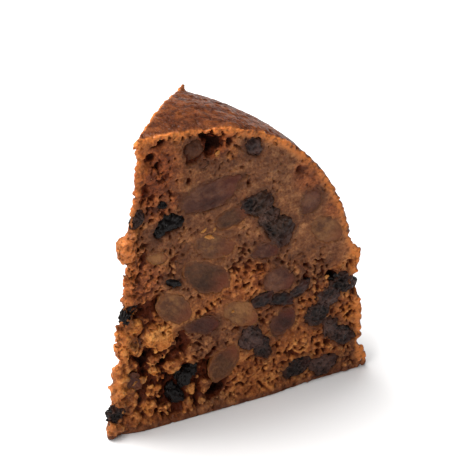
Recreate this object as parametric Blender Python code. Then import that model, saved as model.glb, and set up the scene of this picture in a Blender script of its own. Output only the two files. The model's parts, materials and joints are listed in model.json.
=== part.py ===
"""A cut slice of a basin-steamed Christmas pudding, standing on its broad end.

The whole pudding is a dome turned out of its basin. The slice is what two cuts
through its middle leave: a front cut face along +X, a back cut face turned from
it by the slice's angle, and the pudding's own curved skin between them.
Metres, +Z up. The origin is the middle of the flat underside.
"""

import math

import bmesh
import bpy
from mathutils import Vector, noise

# The whole pudding, as it stands turned out
PUDDING_RADIUS = 0.0588
PUDDING_HEIGHT = 0.0724
DOME_POWER = 2.91  # 2 gives a half ellipsoid, more gives steeper sides

# The slice
SLICE_ANGLE = math.radians(47.5)
FRONT_LEAN = math.radians(4.67)  # the front cut face leans back
BACK_LEAN = math.radians(2.06)  # and so does the back one, towards it
POINT = Vector((-0.0370, -0.0165, 0.0))  # where the slice's point meets the table
POINT_TO_AXIS = Vector((0.00355, 0.00322, 0.0))  # the cuts miss the dome's axis

# The modelled surface
SKIRT = 0.006  # spare depth below the table, cut off for a flat underside
PROFILE_STEPS = 40
TURN_STEPS = 120
SURFACE_GRID = 0.0021
EVENING, EVENING_PASSES = 0.5, 3  # how strongly and how often the grid is evened
SAME_PLACE = 0.00001  # points closer together than this are one
CUT_PRECISION = 0.0000001

# Unevenness: how far the surface wanders, and over what distance
CRUMB_RISE, CRUMB_SPAN = 0.0010, 0.0050
EDGE_RISE, EDGE_SPAN = 0.0010, 0.0075
EDGE_REGAIN = 0.0012  # what evening the grid takes off the point's sharp edge
RIM_REGAIN = 0.0012  # and off the edges where the skin meets the cut faces
SKIN_RISE, SKIN_SPAN = 0.00035, 0.0110
EDGE_REACH = 0.0050  # how far from the slice's point the edge still breaks up
SKIN_DEPTH = 0.0012
UNDERSIDE_REACH = 0.0030  # the surface is calm this close to the table
NOISE_FALL, NOISE_STEP, NOISE_LAYERS = 0.8, 2.1, 3  # how the noise adds finer layers
EDGE_NOISE_PLACE = Vector((0.1, 0.0, 0.0))  # the edge takes its noise from elsewhere

# Moist brown fruit pudding
CRUMB_COLOUR = (0.16, 0.055, 0.018, 1.0)
CRUMB_ROUGHNESS = 0.62

# Hollows and lumps: (along the front face, height, reach, rise), in metres.
# A negative rise is a hollow torn out of the crumb.
FRONT_FEATURES = (
    (0.0262, 0.0664, 0.0044, -0.0028),
    (0.0070, 0.0322, 0.0040, -0.0030),
    (0.0078, 0.0174, 0.0038, -0.0026),
    (0.0266, 0.0056, 0.0034, -0.0020),
    (0.0055, 0.0478, 0.0050, 0.0038),
    (0.0035, 0.0300, 0.0026, 0.0018),
    (0.0022, 0.0141, 0.0045, 0.0006),
    (0.0006, 0.0030, 0.0055, 0.0020),
    (0.0090, 0.0715, 0.0045, -0.0012),
    (0.0605, 0.0204, 0.0030, -0.0030),
    (0.0618, 0.0295, 0.0042, 0.0022),
    (0.0620, 0.0030, 0.0042, 0.0022),
)
# The same on the back cut face
BACK_FEATURES = (
    (0.0300, 0.0560, 0.0055, -0.0024),
    (0.0460, 0.0240, 0.0045, -0.0022),
    (0.0180, 0.0200, 0.0050, -0.0026),
    (0.0520, 0.0450, 0.0040, 0.0014),
    (0.0280, 0.0380, 0.0042, 0.0012),
    (0.0590, 0.0120, 0.0035, -0.0018),
)

AXIS = POINT + POINT_TO_AXIS
FRONT_ALONG = Vector((1.0, 0.0, 0.0))
FRONT_OUT = Vector((0.0, -math.cos(FRONT_LEAN), math.sin(FRONT_LEAN)))
BACK_ALONG = Vector((math.cos(SLICE_ANGLE), math.sin(SLICE_ANGLE), 0.0))
BACK_OUT = Vector(
    (
        -math.sin(SLICE_ANGLE) * math.cos(BACK_LEAN),
        math.cos(SLICE_ANGLE) * math.cos(BACK_LEAN),
        math.sin(BACK_LEAN),
    )
)


def clear_scene():
    """Remove every object that the file opens with."""
    for item in list(bpy.data.objects):
        bpy.data.objects.remove(item, do_unlink=True)


def dome_profile():
    """The dome's outline from below the table to its top, as (radius, height)."""
    outline = [(PUDDING_RADIUS, -SKIRT)]
    for step in range(PROFILE_STEPS + 1):
        turn = math.pi / 2 * step / PROFILE_STEPS
        radius = PUDDING_RADIUS * max(0.0, math.cos(turn)) ** (2 / DOME_POWER)
        height = PUDDING_HEIGHT * math.sin(turn) ** (2 / DOME_POWER)
        outline.append((radius, height))
    outline[-1] = (0.0, PUDDING_HEIGHT)
    return outline


def turned_dome(mesh):
    """Spin the outline round the dome's axis into one closed body."""
    ring = [mesh.verts.new(AXIS + Vector((r, 0.0, z))) for r, z in dome_profile()]
    edges = [mesh.edges.new(pair) for pair in zip(ring, ring[1:])]
    bmesh.ops.spin(
        mesh,
        geom=ring + edges,
        cent=AXIS,
        axis=(0.0, 0.0, 1.0),
        angle=math.tau,
        steps=TURN_STEPS,
        use_merge=True,
    )
    bmesh.ops.remove_doubles(mesh, verts=mesh.verts, dist=SAME_PLACE)
    close_openings(mesh)


def close_openings(mesh):
    """Fill every open rim and turn all faces outwards."""
    rims = [edge for edge in mesh.edges if edge.is_boundary]
    bmesh.ops.contextual_create(mesh, geom=rims)
    bmesh.ops.recalc_face_normals(mesh, faces=mesh.faces)


def cut_away(mesh, point, outwards):
    """Cut with a plane, drop what lies outwards of it and close the cut."""
    everything = mesh.verts[:] + mesh.edges[:] + mesh.faces[:]
    bmesh.ops.bisect_plane(
        mesh,
        geom=everything,
        dist=CUT_PRECISION,
        plane_co=point,
        plane_no=outwards,
        clear_outer=True,
    )
    close_openings(mesh)


def apply_modifiers(body):
    """Bake the object's modifiers into its mesh."""
    graph = bpy.context.evaluated_depsgraph_get()
    finished = bpy.data.meshes.new_from_object(body.evaluated_get(graph))
    body.modifiers.clear()
    body.data = finished


def even_grid(body):
    """Lay the surface out again as an even grid of small faces."""
    grid = body.modifiers.new("grid", "REMESH")
    grid.mode = "VOXEL"
    grid.voxel_size = SURFACE_GRID
    evened = body.modifiers.new("evened", "SMOOTH")
    evened.factor = EVENING
    evened.iterations = EVENING_PASSES
    bpy.context.view_layer.update()
    apply_modifiers(body)


def fade(distance, reach):
    """1 at no distance, falling smoothly to 0 at the reach."""
    near = max(0.0, 1.0 - abs(distance) / reach)
    return near * near * (3.0 - 2.0 * near)


def dome_depth(place):
    """How far a place lies inside the dome's skin, near enough."""
    across = math.hypot(place.x - AXIS.x, place.y - AXIS.y) / PUDDING_RADIUS
    up = max(0.0, place.z) / PUDDING_HEIGHT
    reach = (across**DOME_POWER + up**DOME_POWER) ** (1 / DOME_POWER)
    return (1.0 - reach) * PUDDING_RADIUS


def wander(place, span):
    """Smooth noise between about -1 and 1, over the given span."""
    return noise.fractal(place / span, NOISE_FALL, NOISE_STEP, NOISE_LAYERS)


def feature_rise(place, along, outwards, features):
    """What the hollows and lumps of one cut face add at a place on it."""
    from_point = place - POINT
    on_face = fade(from_point.dot(outwards), EDGE_REACH)
    rise = 0.0
    for run, height, reach, feature in features:
        gap = math.hypot(from_point.dot(along) - run, place.z - height)
        rise += feature * fade(gap, reach) * on_face
    return rise


def surface_rise(place):
    """How far the surface stands out, or in, at a place on the ideal slice."""
    skin = fade(dome_depth(place), SKIN_DEPTH)
    front = abs((place - POINT).dot(FRONT_OUT))
    back = abs((place - POINT).dot(BACK_OUT))
    edge = fade(max(front, back), EDGE_REACH)
    rough = CRUMB_RISE * wander(place, CRUMB_SPAN)
    broken = EDGE_RISE * wander(place + EDGE_NOISE_PLACE, EDGE_SPAN)
    gentle = SKIN_RISE * wander(place, SKIN_SPAN)
    rise = (rough + edge * broken) * (1.0 - skin) + gentle * skin
    rise += edge * EDGE_REGAIN + skin * fade(min(front, back), SKIN_DEPTH) * RIM_REGAIN
    rise += feature_rise(place, FRONT_ALONG, FRONT_OUT, FRONT_FEATURES)
    rise += feature_rise(place, BACK_ALONG, BACK_OUT, BACK_FEATURES)
    return rise


def roughen(body):
    """Move each point of the surface out or in by its own rise."""
    mesh = bmesh.new()
    mesh.from_mesh(body.data)
    mesh.normal_update()
    moves = []
    for vert in mesh.verts:
        place = vert.co.copy()
        calm = fade(place.z, UNDERSIDE_REACH)
        direction = vert.normal.copy()
        direction.z *= 1.0 - calm
        moves.append((vert, direction * surface_rise(place)))
    for vert, move in moves:
        vert.co += move
    mesh.to_mesh(body.data)
    mesh.free()


def flat_underside(body):
    """Cut the slice off level with the table."""
    mesh = bmesh.new()
    mesh.from_mesh(body.data)
    cut_away(mesh, Vector((0.0, 0.0, 0.0)), Vector((0.0, 0.0, -1.0)))
    for vert in mesh.verts:
        if vert.co.z < SAME_PLACE:
            vert.co.z = 0.0
    bmesh.ops.triangulate(mesh, faces=mesh.faces)
    mesh.to_mesh(body.data)
    mesh.free()


def crumb_material():
    """A plain crumb finish."""
    material = bpy.data.materials.new("pudding crumb")
    material.use_nodes = True
    shader = material.node_tree.nodes["Principled BSDF"]
    shader.inputs["Base Color"].default_value = CRUMB_COLOUR
    shader.inputs["Roughness"].default_value = CRUMB_ROUGHNESS
    shader.inputs["Metallic"].default_value = 0.0
    return material


def build_slice():
    """Turn the dome, cut the slice out of it and give it its surface."""
    mesh = bmesh.new()
    turned_dome(mesh)
    cut_away(mesh, POINT, FRONT_OUT)
    cut_away(mesh, POINT, BACK_OUT)
    shape = bpy.data.meshes.new("pudding_slice")
    mesh.to_mesh(shape)
    mesh.free()
    body = bpy.data.objects.new("pudding_slice", shape)
    bpy.context.scene.collection.objects.link(body)
    even_grid(body)
    roughen(body)
    flat_underside(body)
    body.data.materials.clear()
    body.data.materials.append(crumb_material())
    body.data.shade_smooth()
    return body


clear_scene()
build_slice()
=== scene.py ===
"""The looks of a cut slice of steamed Christmas pudding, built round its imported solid.

The crumb is made as it bakes: a dense core, lumps of crumb grown over both cut faces with gaps
left between them, and the pudding's own skin, all joined into one body. The dried fruit lies in
sockets left among the lumps, cut through level with the faces. Metres, +Z up.
"""

import json
import math
import random

import bpy
import numpy as np
from mathutils import Matrix, Vector, kdtree

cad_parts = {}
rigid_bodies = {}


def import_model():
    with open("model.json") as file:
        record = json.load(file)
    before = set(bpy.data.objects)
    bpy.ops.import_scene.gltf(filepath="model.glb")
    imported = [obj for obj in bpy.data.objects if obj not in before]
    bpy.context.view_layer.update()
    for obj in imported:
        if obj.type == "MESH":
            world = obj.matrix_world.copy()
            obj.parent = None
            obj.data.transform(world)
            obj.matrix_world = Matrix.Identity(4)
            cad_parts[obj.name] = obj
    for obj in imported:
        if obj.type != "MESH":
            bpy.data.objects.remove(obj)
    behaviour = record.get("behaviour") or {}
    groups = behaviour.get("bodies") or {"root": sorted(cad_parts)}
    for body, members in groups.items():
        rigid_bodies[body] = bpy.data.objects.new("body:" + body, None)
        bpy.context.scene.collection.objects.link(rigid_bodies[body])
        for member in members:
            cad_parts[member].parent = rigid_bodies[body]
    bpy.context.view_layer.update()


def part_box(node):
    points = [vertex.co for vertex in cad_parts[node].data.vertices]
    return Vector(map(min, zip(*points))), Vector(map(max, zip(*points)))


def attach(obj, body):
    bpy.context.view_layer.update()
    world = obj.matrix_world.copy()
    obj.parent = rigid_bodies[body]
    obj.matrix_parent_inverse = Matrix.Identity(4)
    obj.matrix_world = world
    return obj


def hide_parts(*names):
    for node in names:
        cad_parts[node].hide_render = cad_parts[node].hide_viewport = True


MM = 0.001

# The whole pudding and the slice, as the solid has them
PUDDING_RADIUS = 58.8 * MM
PUDDING_HEIGHT = 72.4 * MM
DOME_POWER = 2.91
SLICE_ANGLE = math.radians(47.5)
FRONT_LEAN = math.radians(4.67)
BACK_LEAN = math.radians(2.06)
POINT = Vector((-37.0, -16.5, 0.0)) * MM
AXIS = POINT + Vector((3.55, 3.22, 0.0)) * MM
EDGE_TOP = POINT + Vector((9.0, 5.9, 72.4)) * MM  # where the slice's point meets the dome

# How finely the body is made
CORE_TURNS, CORE_RINGS = 144, 96
CORE_GRID = 0.8 * MM
CRUMB_GRID = 0.25 * MM
BODY_TRIANGLES = 195000
SEEDS = (31, 41, 53)  # for placing the lumps, breaking up the edges and shaping the lumps

# The crumb
CORE_INSET = 0.10 * MM  # where the core's cut faces start below the real ones
CREVICE = 1.4 * MM  # how much deeper the core lies where the crumb breaks in clumps
PORE_DEPTH = 0.95 * MM  # how deep the pores go
RIM_WIDTH = 2.6 * MM  # the crumb closes up this near the skin
LUMP_PITCH = 0.72 * MM  # between neighbouring lumps of fine crumb
CLUMP_PITCH = 3.4 * MM  # between neighbouring clumps where the crumb breaks coarsely
DEEP = 1.5 * MM  # a pore this deep gets the darkest painted shade
FACE_REACH = 3.0 * MM  # what lies this close under a cut face takes its looks
PROUD = 0.02 * MM  # what stands out no more than this is left alone
SOCKET_DEPTH = 0.95 * MM
STAIN_REACH, AMBER_REACH = 1.2 * MM, 0.9 * MM  # how far fruit stains the crumb
FOOT_CRUST = 1.6 * MM  # height of the closed, darker crust along the foot
# The farthest that fruit stands out of its cut face, and how deep its middle lies as a share of
# its own thickness
FRUIT_LEVEL = {"cut": -0.14 * MM, "whole": 0.50 * MM, "sunk": -0.60 * MM}
FRUIT_SINK = {"cut": 0.12, "whole": 0.66, "sunk": 1.10}

# How lumps of crumb are made uneven, and how the body is smoothed and its bend read
LUMP_UNEVEN = 0.30  # as a share of their own radius
SQUEEZE, STRETCH, LARGE_STRETCH = 0.62, 1.45, 1.20
LARGE_LUMP = 0.9 * MM
LUMP_BALL, LARGE_LUMP_BALL = 2, 3  # how finely their balls are divided
SMOOTHING, SMOOTHING_PASSES = 0.5, 2
BEND_SPREAD = 3
TEAR_DEPTH = 1.3  # of the larger, torn pores, in mm

# Relief recipes, as (height in mm, span in mm, noise layer)
CRUMB_WAVES = ((0.14, 1.7, 9), (0.10, 0.6, 10))
RIND_WAVES = ((0.26, 6.5, 11), (0.16, 2.2, 12))
RIND_GRAIN = ((0.10, 1.1, 13), (0.03, 0.6, 10))
SOCKET_WAVES = ((0.70, 1.8, 27), (0.25, 0.7, 28))

# Chance
NOISE_SEED = 1225
FRUIT_SEED = 1225  # for where the back's fruit lies
SHAPE_SEED = 500  # for each fruit's shape, plus its index
CUT_SHARE = 0.85  # of the back's fruit that the knife went through
MOST_TRIES = 4000  # at finding room for one kind of fruit
TINT_STEP = 0.618  # from one fruit's tint to the next one's

# Camera, where the slice is seen from
CAMERA_FROM_POINT = Vector((-257.9, -556.4, 496.2)) * MM
LENS = 284.0
SENSOR = 36.0
CAMERA_ROLL = math.radians(1.8)
CAMERA_REACH = (0.05, 20.0)  # the nearest and farthest it sees
AIM_OFFSET = Vector((8.4, 1.1, -7.6)) * MM


# ---------------------------------------------------------------- the slice's own geometry


class CutFace:
    """One of the slice's flat cuts: directions along its foot, up it and out of it."""

    def __init__(self, name, along, out):
        self.name = name
        self.along = Vector(along).normalized()
        self.out = Vector(out).normalized()
        self.up = self.out.cross(self.along)
        self.hand = 1.0 if self.up.z > 0 else -1.0
        self.up *= self.hand

    def place(self, run, rise, depth=0.0):
        """The point this far along the foot, up the face and below its surface."""
        return POINT + self.along * run + self.up * rise - self.out * depth

    def places(self, run, rise, depth):
        """The same for arrays."""
        steps = np.outer(run, self.along) + np.outer(rise, self.up) - np.outer(depth, self.out)
        return steps + np.array(POINT)

    def depth(self, points):
        """How far points lie inside this cut."""
        return -(points - np.array(POINT)) @ np.array(self.out)

    def run_rise(self, points):
        """Where points lie along the foot and up the face."""
        offset = points - np.array(POINT)
        return offset @ np.array(self.along), offset @ np.array(self.up)

    def steps_out(self, lengths):
        """A step of each length straight out of the cut."""
        return np.outer(lengths, np.array(self.out))

    def other(self):
        """The other cut."""
        return BACK if self is FRONT else FRONT

    def holding(self, fruit):
        """The fruit that sits in this cut."""
        return [one for one in fruit if one.face is self]


FRONT = CutFace(
    "front",
    (1.0, 0.0, 0.0),
    (0.0, -math.cos(FRONT_LEAN), math.sin(FRONT_LEAN)),
)
BACK = CutFace(
    "back",
    (math.cos(SLICE_ANGLE), math.sin(SLICE_ANGLE), 0.0),
    (
        -math.sin(SLICE_ANGLE) * math.cos(BACK_LEAN),
        math.cos(SLICE_ANGLE) * math.cos(BACK_LEAN),
        math.sin(BACK_LEAN),
    ),
)
FACES = (FRONT, BACK)


def dome_depth(points):
    """How far points lie inside the pudding's skin, and the way out through it."""
    offset = points[:, :2] - np.array(AXIS)[:2]
    across = np.linalg.norm(offset, axis=1)
    a = np.maximum(across / PUDDING_RADIUS, 1e-6)
    u = np.maximum(points[:, 2] / PUDDING_HEIGHT, 0.0)
    reach = (a**DOME_POWER + u**DOME_POWER) ** (1 / DOME_POWER)
    slope_out = (a / reach) ** (DOME_POWER - 1) / PUDDING_RADIUS
    slope_up = (u / reach) ** (DOME_POWER - 1) / PUDDING_HEIGHT
    slope = np.hypot(slope_out, slope_up)
    side = offset / np.maximum(across, 1e-9)[:, None]
    outwards = np.column_stack([side * (slope_out / slope)[:, None], slope_up / slope])
    return (1 - reach) / slope, outwards


def dome_run(rise):
    """How far along a cut's foot the skin stands, at a height."""
    share = max(0.0, 1 - (rise / PUDDING_HEIGHT) ** DOME_POWER) ** (1 / DOME_POWER)
    return AXIS.x - POINT.x + PUDDING_RADIUS * share


def dome_lean(rise):
    """How far the slice's point leans along the front cut, at a height."""
    return (EDGE_TOP.x - POINT.x) / PUDDING_HEIGHT * rise


def smooth(value, low, high):
    """0 below low, 1 above high and an easy rise between, for numbers or arrays."""
    t = np.clip((value - low) / (high - low), 0.0, 1.0)
    return t * t * (3.0 - 2.0 * t)


def fade(value, low, high):
    """1 below low, 0 above high and an easy fall between."""
    return 1.0 - smooth(value, low, high)


def smooth_mm(value, low, high):
    """An easy rise with its limits in millimetres."""
    return smooth(value, low * MM, high * MM)


def fade_mm(value, low, high):
    """An easy fall with its limits in millimetres."""
    return 1.0 - smooth_mm(value, low, high)


RIPPLE_GAIN = 1.6  # brings ripples up to about 1
LAYER_STEP = 19.7  # between the lattices of neighbouring noise layers
LATTICE = np.random.RandomState(NOISE_SEED)
SHUFFLE = LATTICE.permutation(256)
SLOPES = LATTICE.normal(size=(256, 3))
SLOPES /= np.linalg.norm(SLOPES, axis=1)[:, None]


def ripple(points, span, layer=0):
    """Smooth noise between about -1 and 1 at many points at once."""
    spots = np.asarray(points) / span + LAYER_STEP * layer
    cells = np.floor(spots).astype(int)
    inside = spots - cells
    ease = inside**3 * (inside * (inside * 6 - 15) + 10)
    total = np.zeros(len(spots))
    for corner in np.ndindex(2, 2, 2):
        key = cells + np.array(corner)
        pick = SHUFFLE[(SHUFFLE[(SHUFFLE[key[:, 0] & 255] + key[:, 1]) & 255] + key[:, 2]) & 255]
        pull = (SLOPES[pick] * (inside - np.array(corner))).sum(axis=1)
        total += pull * np.where(np.array(corner) == 1, ease, 1 - ease).prod(axis=1)
    return total * RIPPLE_GAIN


def waves(points, *parts, unit=1.0):
    """Ripples added up, each given as (height, span in mm, layer)."""
    return sum(height * unit * ripple(points, span * MM, layer) for height, span, layer in parts)


def drift(points, span, layer):
    """Three ripples side by side, to lead points astray by."""
    return np.column_stack([ripple(points, span, layer + step) for step in range(3)])


# ---------------------------------------------------------------- the lie of the crumb

# Where each look lies on a face, as (along, up, reach) in mm and its strength where that isn't 1.
# Smeared: the knife has closed the crumb. Coarse: it breaks in clumps. Warm: more orange.
# Ruddy: dark red between the crumbs. Golden: light orange clumps, and near the point's top edge a
# painted glow of light through the thin crumb. The hollows torn out of the face are (along, up,
# reach, depth) in mm.
LIE = {
    "front": {
        "smeared": (
            (46, 55, 20), (51, 41, 11), (26, 54, 11, 0.85), (26, 43, 10, 0.75), (20, 32, 8, 0.5),
            (38, 44, 9, 0.8), (57, 34, 6), (30, 24, 5, 0.5), (33, 62, 8, 0.7), (13, 48, 5, 0.7),
            (20, 61, 7, 0.5), (16, 65, 9, 0.65),
        ),
        "coarse": (
            (2, 6, 12), (5, 18, 13), (14, 6, 12), (7, 30, 9), (24, 8, 7), (6, 44, 6), (17, 18, 6),
            (8.5, 67, 4.5, 0.42), (8.5, 59, 4.5, 0.45),
        ),
        "warm": (
            (48, 12, 15), (34, 28, 9), (6, 24, 13), (12, 9, 14), (58, 18, 10), (5, 46, 6, 0.2),
            (7, 66, 6), (36, 8, 10), (60, 30, 6), (24, 27, 5), (16, 66, 8, 0.5),
        ),
        "ruddy": (
            (10, 64, 11), (27, 68, 6), (50, 54, 6, 0.7), (8, 38, 8, 0.7), (34, 30, 6, 0.45),
            (14, 56, 6, 0.7), (56, 44, 4, 0.7), (5, 46.5, 5, 0.6),
        ),
        # The golden spots at (9.4, 67.0), (7.6, 60.0) and (11.0, 71.2) paint the glow of light
        # through the thin top edge of the point
        "golden": (
            (13.0, 22.4, 4.6), (5.8, 13.2, 4.2, 0.9), (8.0, 26.8, 2.6, 0.8),
            (9.4, 67.0, 3.4, 0.75), (7.6, 60.0, 2.6, 0.6), (60.6, 30.4, 2.0, 0.7),
            (59.6, 15.6, 3.0, 0.6), (18.6, 70.8, 2.4, 0.7), (39.0, 66.4, 2.0, 0.6),
            (9.6, 5.0, 2.2, 0.6), (31.0, 63.6, 2.0, 0.7), (5.6, 22.0, 4.0, 0.8),
            (12.0, 12.0, 4.0, 0.7), (20.0, 6.0, 3.0, 0.5), (11.0, 71.2, 2.2, 0.9),
        ),
        "hollows": (
            (26.8, 66.6, 2.5, 3.0), (25.0, 69.6, 1.7, 2.2), (13.4, 64.2, 1.7, 2.0),
            (12.2, 67.2, 1.2, 1.7), (6.6, 32.0, 2.2, 2.6), (9.2, 17.2, 2.0, 2.2),
            (19.4, 15.4, 1.2, 1.8), (7.4, 8.8, 1.6, 1.8), (26.9, 4.7, 2.2, 2.4),
            (55.2, 26.0, 1.6, 2.6), (11.0, 61.5, 1.4, 1.8), (10.2, 28.2, 1.1, 1.4),
            (37.4, 33.4, 0.9, 1.4), (48.6, 27.2, 1.1, 1.4), (3.4, 9.5, 1.1, 1.4),
            (47.0, 55.4, 0.8, 1.2), (17.0, 41.2, 0.9, 1.4), (35.0, 55.4, 0.7, 0.9),
            (26.2, 15.6, 0.8, 1.4), (17.6, 20.2, 1.0, 1.4), (61.6, 21.2, 2.0, 2.2),
            (30.4, 66.4, 1.4, 1.6), (60.8, 31.6, 0.9, 1.0), (12.4, 57.6, 1.0, 1.2),
            (14.6, 11.6, 1.2, 1.8), (14.2, 70.4, 1.1, 1.6), (15.6, 61.8, 1.0, 1.4),
            (8.0, 7.4, 1.2, 2.2), (13.8, 15.6, 1.2, 2.2),
        ),
    },
    "back": {
        "smeared": (
            (40, 50, 19), (22, 30, 12, 0.7), (48, 26, 10, 0.8), (28, 58, 9, 0.6),
        ),
        "coarse": (
            (3, 12, 14), (14, 6, 12), (6, 40, 10), (34, 8, 9), (12, 62, 7),
        ),
        "warm": (
            (48, 12, 14), (30, 38, 10), (8, 24, 11), (14, 60, 10), (58, 30, 8),
        ),
        "ruddy": (
            (16, 62, 12), (44, 34, 9), (8, 40, 8),
        ),
        "golden": (
            (10, 16, 4, 0.8), (30, 12, 4, 0.6), (22, 48, 3, 0.7), (42, 58, 4, 0.6),
        ),
        "hollows": (
            (30.0, 56.0, 3.0, 3.0), (46.0, 24.0, 2.4, 2.6), (18.0, 20.0, 2.8, 3.0),
            (59.0, 12.0, 2.0, 2.2), (12.0, 46.0, 2.2, 2.2), (34.0, 9.0, 2.0, 2.4),
            (38.0, 36.0, 1.4, 1.8), (24.0, 66.0, 1.8, 2.0), (50.0, 48.0, 1.2, 1.4),
        ),
    },
}


def lie(face, look, run, rise):
    """How much a face has a certain look at a spot, from 0 to 1."""
    most = np.zeros(np.shape(run))
    for along, up, reach, *strength in LIE[face.name][look]:
        gap = np.hypot(run / MM - along, rise / MM - up)
        here = fade(gap, reach * 0.45, reach * 1.05)
        most = np.maximum(most, here * (strength[0] if strength else 1.0))
    return most


def hollowed(face, run, rise, astray=0.0):
    """How deep the torn hollows go at a spot, in metres, with their outlines gone astray."""
    deepest = np.zeros(np.shape(run))
    for along, up, reach, depth in LIE[face.name]["hollows"]:
        gap = np.hypot(run / MM - along, rise / MM - up) + reach * astray
        dip = depth * MM * fade(gap, reach * 0.40, reach * 1.15)
        deepest = np.maximum(deepest, dip)
    return deepest


def torn_outline(points):
    """How far the outlines of torn hollows wander, as a share of their reach."""
    return 0.04 + 0.60 * ripple(points, 2.1 * MM, 3)


# ---------------------------------------------------------------- mesh helpers


def deselect_all():
    """Leave edit mode and select nothing."""
    if bpy.context.object and bpy.context.object.mode != "OBJECT":
        bpy.ops.object.mode_set(mode="OBJECT")
    bpy.ops.object.select_all(action="DESELECT")


def make_active(piece):
    """Select one piece alone and make it the active one."""
    deselect_all()
    piece.select_set(True)
    bpy.context.view_layer.objects.active = piece


def read(piece, what):
    """A piece's vertex places ("co") or normals ("normal") as an array."""
    values = np.empty(len(piece.data.vertices) * 3, dtype=np.float32)
    piece.data.vertices.foreach_get(what, values)
    return values.reshape(-1, 3).astype(float)


def move_points(piece, places):
    """Put a piece's vertices at new places."""
    piece.data.vertices.foreach_set("co", places.astype(np.float32).ravel())
    piece.data.update()


def apply_modifiers(piece):
    """Apply all of a piece's modifiers, in their order."""
    make_active(piece)
    for modifier in list(piece.modifiers):
        bpy.ops.object.modifier_apply(modifier=modifier.name)


def lay_grid(piece, size):
    """Have the piece's surface laid out again as an even grid, when its modifiers are applied."""
    grid = piece.modifiers.new("grid", "REMESH")
    grid.mode = "VOXEL"
    grid.voxel_size = size


def mesh_piece(name, points, faces):
    """A new object from arrays of points and triangles."""
    mesh = bpy.data.meshes.new(name)
    mesh.vertices.add(len(points))
    mesh.vertices.foreach_set("co", np.asarray(points, dtype=np.float32).ravel())
    mesh.loops.add(len(faces) * 3)
    mesh.loops.foreach_set("vertex_index", np.asarray(faces, dtype=np.int32).ravel())
    mesh.polygons.add(len(faces))
    mesh.polygons.foreach_set("loop_start", np.arange(0, len(faces) * 3, 3, dtype=np.int32))
    mesh.update(calc_edges=True)
    piece = bpy.data.objects.new(name, mesh)
    bpy.context.scene.collection.objects.link(piece)
    return piece


def ball(subdivisions):
    """The points and triangles of a round ball of radius 1, as a start to copy."""
    deselect_all()
    bpy.ops.mesh.primitive_ico_sphere_add(subdivisions=subdivisions, radius=1.0)
    start = bpy.context.object
    points = read(start, "co")
    faces = np.array([face.vertices[:] for face in start.data.polygons])
    bpy.data.objects.remove(start, do_unlink=True)
    return points, faces


def copies(start, turns, centres):
    """The points and triangles of one start, copied through many 3 by 3 turns and centres."""
    points, faces = start
    spots = np.einsum("nij,kj->nki", turns, points) + centres[:, None, :]
    triangles = faces[None] + (np.arange(len(centres)) * len(points))[:, None, None]
    return spots.reshape(-1, 3), triangles.reshape(-1, 3)


def any_turns(count, chance):
    """That many turns, each any way round at all."""
    spins = chance.normal(size=(count, 4))
    w, x, y, z = (spins / np.linalg.norm(spins, axis=1)[:, None]).T
    rows = (
        (1 - 2 * (y * y + z * z), 2 * (x * y - z * w), 2 * (x * z + y * w)),
        (2 * (x * y + z * w), 1 - 2 * (x * x + z * z), 2 * (y * z - x * w)),
        (2 * (x * z - y * w), 2 * (y * z + x * w), 1 - 2 * (x * x + y * y)),
    )
    return np.moveaxis(np.array(rows), -1, 0)


def values_on(piece, **layers):
    """Store numbers for each vertex, by name, for the materials to read."""
    for name, values in layers.items():
        layer = piece.data.attributes.new(name, "FLOAT", "POINT")
        layer.data.foreach_set("value", np.asarray(values, dtype=np.float32))


def bend_of(piece, spread):
    """Where the surface is hollow (above 0) or ridged (below 0), spread over its neighbours."""
    ends = np.empty(len(piece.data.edges) * 2, dtype=np.int32)
    piece.data.edges.foreach_get("vertices", ends)
    first, second = ends[::2], ends[1::2]
    places, normals = read(piece, "co"), read(piece, "normal")
    count = len(places)
    step = places[second] - places[first]
    span = np.linalg.norm(step, axis=1) + 1e-9
    bend = np.bincount(first, (step * normals[first]).sum(axis=1) / span, count)
    bend -= np.bincount(second, (step * normals[second]).sum(axis=1) / span, count)
    edges = np.bincount(first, minlength=count) + np.bincount(second, minlength=count)
    edges = np.maximum(edges, 1)
    bend /= edges
    for _ in range(spread):
        beside = np.bincount(first, bend[second], count) + np.bincount(second, bend[first], count)
        bend = 0.5 * bend + 0.5 * beside / edges
    return bend


# ---------------------------------------------------------------- dried fruit

# kind: (thickness as a share of width, uneven outline, bow, taper, wrinkle depth and span in mm,
# how flat the knife leaves it, and the relief of its cut flesh in mm)
FRUIT_KINDS = {
    "sultanas": (0.80, 0.24, 0.14, 0.16, 0.20, 2.4, 1.00, 0.10),
    "muscats": (0.75, 0.30, 0.16, 0.14, 0.26, 2.0, 0.95, 0.16),
    "raisins": (0.75, 0.48, 0.26, 0.12, 0.60, 1.6, 0.80, 0.85),
    "currants": (0.85, 0.42, 0.26, 0.12, 0.36, 1.2, 0.80, 0.65),
    "peel": (0.60, 0.50, 0.30, 0.30, 0.15, 1.0, 0.60, 0.05),
}

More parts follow.
